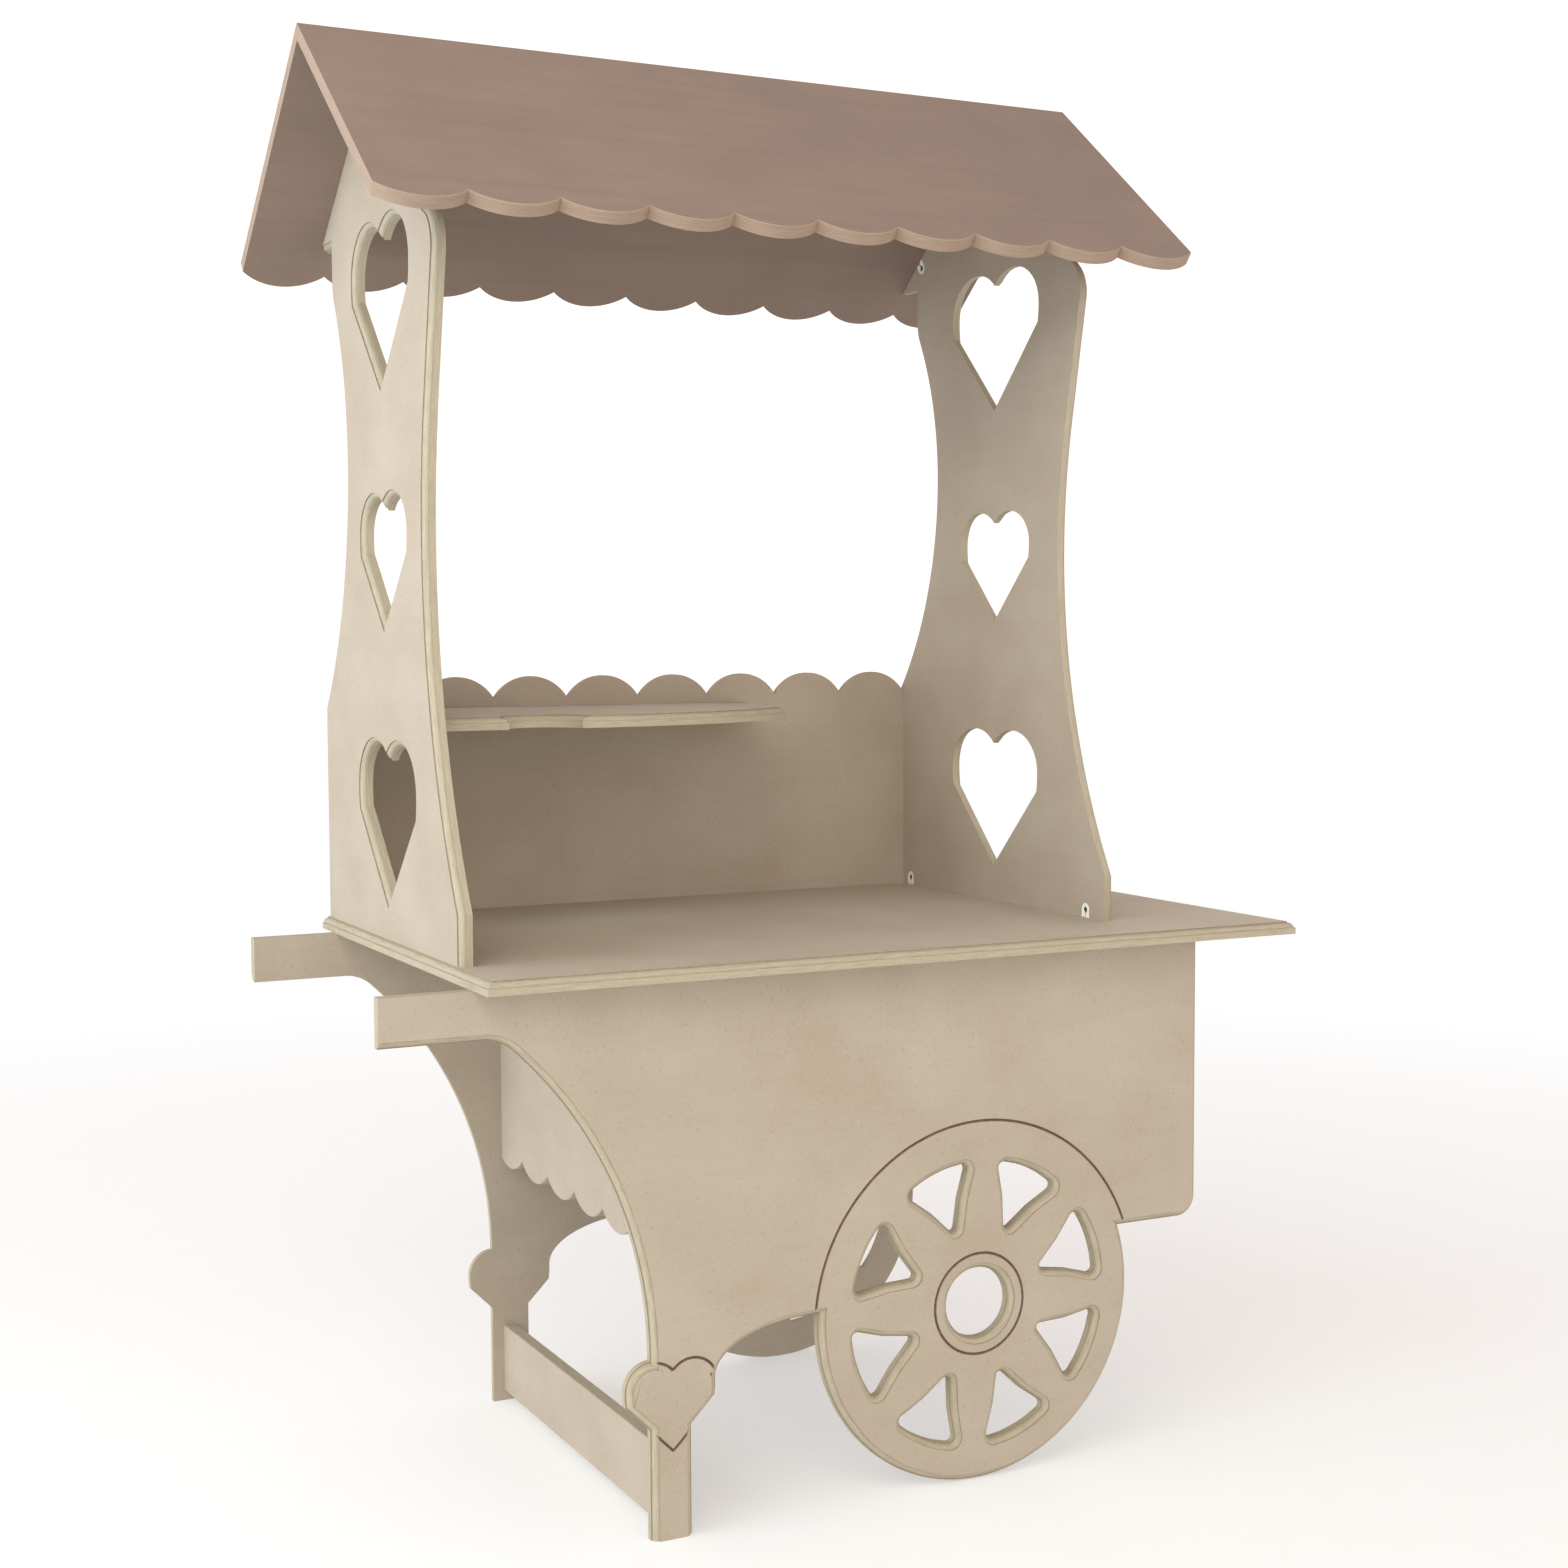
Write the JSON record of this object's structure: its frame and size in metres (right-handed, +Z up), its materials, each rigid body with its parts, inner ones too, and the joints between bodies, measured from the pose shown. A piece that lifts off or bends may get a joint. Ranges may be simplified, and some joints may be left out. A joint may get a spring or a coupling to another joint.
{
  "type": "candy buffet cart",
  "caption": "Display cart of routed boards: pitched scalloped roof on waisted uprights with heart openings, table with back panel and shelf, and side panels with carved wheels.",
  "frame": {"origin": "middle of the bounding box on the floor plane", "axes": "+X from the handles to the overhanging end of the table, +Y from the open front to the back panel, +Z up"},
  "size_m": [1.357, 0.7938, 1.9949],
  "materials": {
    "board": "raw sanded medium-density fibreboard, matt",
    "fitting_housing": "moulded off-white plastic",
    "fitting_cam": "die-cast zinc, as cast",
    "fitting_bolt": "zinc-plated steel"
  },
  "bodies": {
    "cart": {"side_panel_front": "board", "side_panel_back": "board", "table": "board", "apron_left": "board", "apron_right": "board", "stretcher": "board", "back_panel": "board", "shelf": "board", "upright_left": "board", "upright_right": "board", "roof_front": "board", "roof_back": "board", "foot_back_left_housing": "fitting_housing", "foot_back_left_bolt": "fitting_bolt", "foot_front_left_housing": "fitting_housing", "foot_front_left_bolt": "fitting_bolt", "gable_back_left_housing": "fitting_housing", "gable_back_left_bolt": "fitting_bolt", "gable_front_left_housing": "fitting_housing", "gable_front_left_bolt": "fitting_bolt", "foot_back_right_housing": "fitting_housing", "foot_back_right_bolt": "fitting_bolt", "foot_front_right_housing": "fitting_housing", "foot_front_right_bolt": "fitting_bolt", "gable_back_right_housing": "fitting_housing", "gable_back_right_bolt": "fitting_bolt", "gable_front_right_housing": "fitting_housing", "gable_front_right_bolt": "fitting_bolt"},
    "cam_foot_back_left": {"foot_back_left_cam": "fitting_cam"},
    "cam_foot_front_left": {"foot_front_left_cam": "fitting_cam"},
    "cam_gable_back_left": {"gable_back_left_cam": "fitting_cam"},
    "cam_gable_front_left": {"gable_front_left_cam": "fitting_cam"},
    "cam_foot_back_right": {"foot_back_right_cam": "fitting_cam"},
    "cam_foot_front_right": {"foot_front_right_cam": "fitting_cam"},
    "cam_gable_back_right": {"gable_back_right_cam": "fitting_cam"},
    "cam_gable_front_right": {"gable_front_right_cam": "fitting_cam"}
  },
  "joints": [
    {"name": "foot_back_left_turn", "type": "hinge", "parent": "cart", "child": "cam_foot_back_left", "pos_m": [-0.5295, 0.30414, 0.772], "axis": [1, 0, 0], "range_deg": [0, 180]},
    {"name": "foot_front_left_turn", "type": "hinge", "parent": "cart", "child": "cam_foot_front_left", "pos_m": [-0.5295, -0.21386, 0.772], "axis": [1, 0, 0], "range_deg": [0, 180]},
    {"name": "gable_back_left_turn", "type": "hinge", "parent": "cart", "child": "cam_gable_back_left", "pos_m": [-0.5295, 0.26789, 1.77672], "axis": [1, 0, 0], "range_deg": [0, 180]},
    {"name": "gable_front_left_turn", "type": "hinge", "parent": "cart", "child": "cam_gable_front_left", "pos_m": [-0.5295, -0.18361, 1.77672], "axis": [1, 0, 0], "range_deg": [0, 180]},
    {"name": "foot_back_right_turn", "type": "hinge", "parent": "cart", "child": "cam_foot_back_right", "pos_m": [0.4355, 0.30414, 0.772], "axis": [-1, 0, 0], "range_deg": [0, 180]},
    {"name": "foot_front_right_turn", "type": "hinge", "parent": "cart", "child": "cam_foot_front_right", "pos_m": [0.4355, -0.21386, 0.772], "axis": [-1, 0, 0], "range_deg": [0, 180]},
    {"name": "gable_back_right_turn", "type": "hinge", "parent": "cart", "child": "cam_gable_back_right", "pos_m": [0.4355, 0.26789, 1.77672], "axis": [-1, 0, 0], "range_deg": [0, 180]},
    {"name": "gable_front_right_turn", "type": "hinge", "parent": "cart", "child": "cam_gable_front_right", "pos_m": [0.4355, -0.18361, 1.77672], "axis": [-1, 0, 0], "range_deg": [0, 180]}
  ]
}
